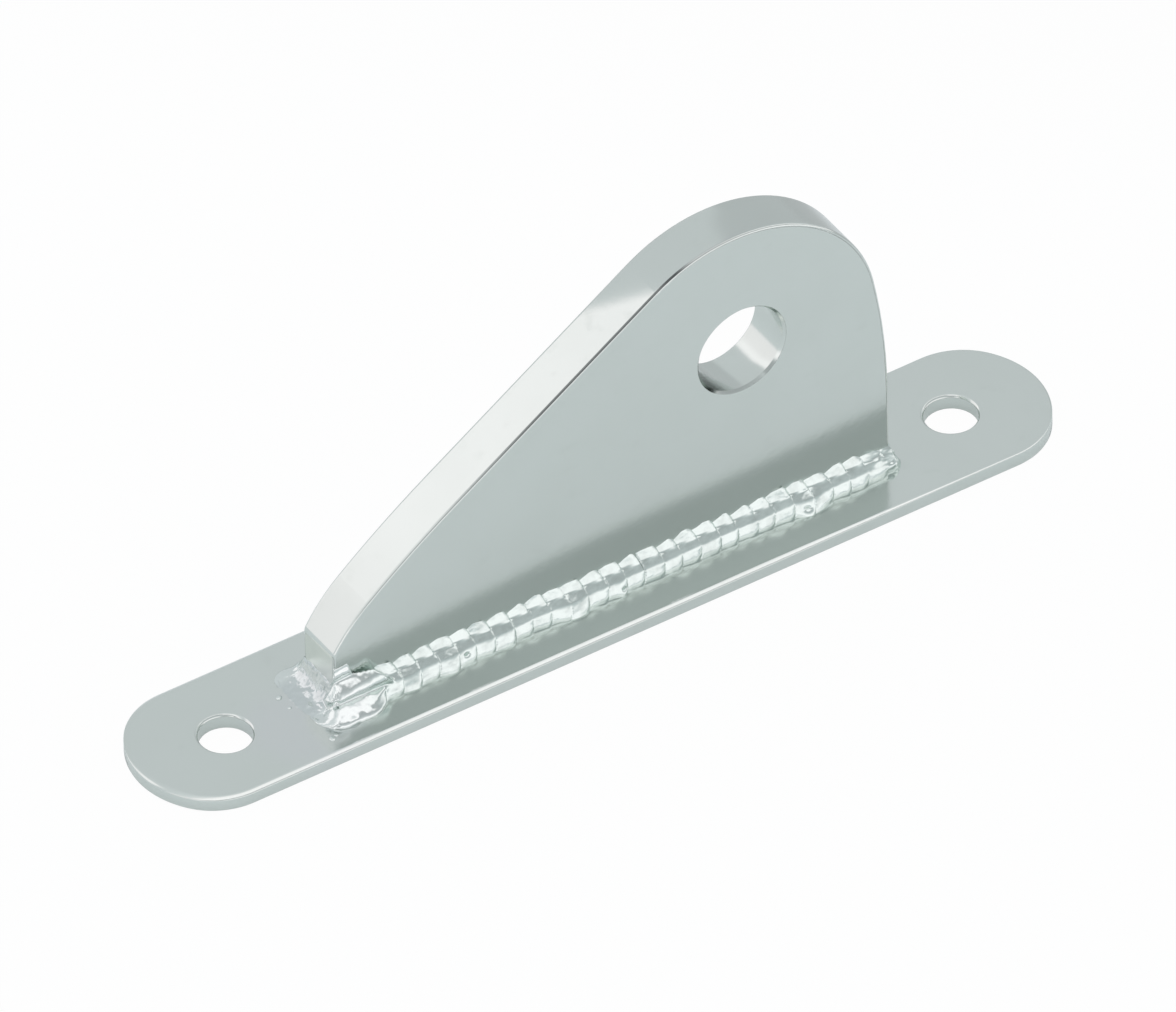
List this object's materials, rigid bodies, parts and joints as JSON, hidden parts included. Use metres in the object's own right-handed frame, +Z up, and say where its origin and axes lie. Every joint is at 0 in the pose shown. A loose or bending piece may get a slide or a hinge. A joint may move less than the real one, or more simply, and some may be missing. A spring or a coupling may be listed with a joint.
{
  "type": "vang base fitting",
  "caption": "Welded steel fitting: a flat strip with round ends and fastener holes, and an upright lug with a pin hole and a sloping back.",
  "frame": {"origin": "middle of the strip's underside, the face that rests on the mast or deck", "axes": "+X along the strip towards the lug's round head, +Z up away from the mounting face, +Y across the strip"},
  "size_m": [0.096, 0.016, 0.0359],
  "materials": {
    "polished_plate": "electropolished stainless steel plate, mirror bright with a faint soft haze",
    "weld_metal": "bright cleaned stainless weld metal, rippled and glossy"
  },
  "bodies": {
    "root": {"base_strip": "polished_plate", "upright_lug": "polished_plate", "weld_bead_right": "weld_metal", "weld_bead_left": "weld_metal"}
  },
  "joints": []
}
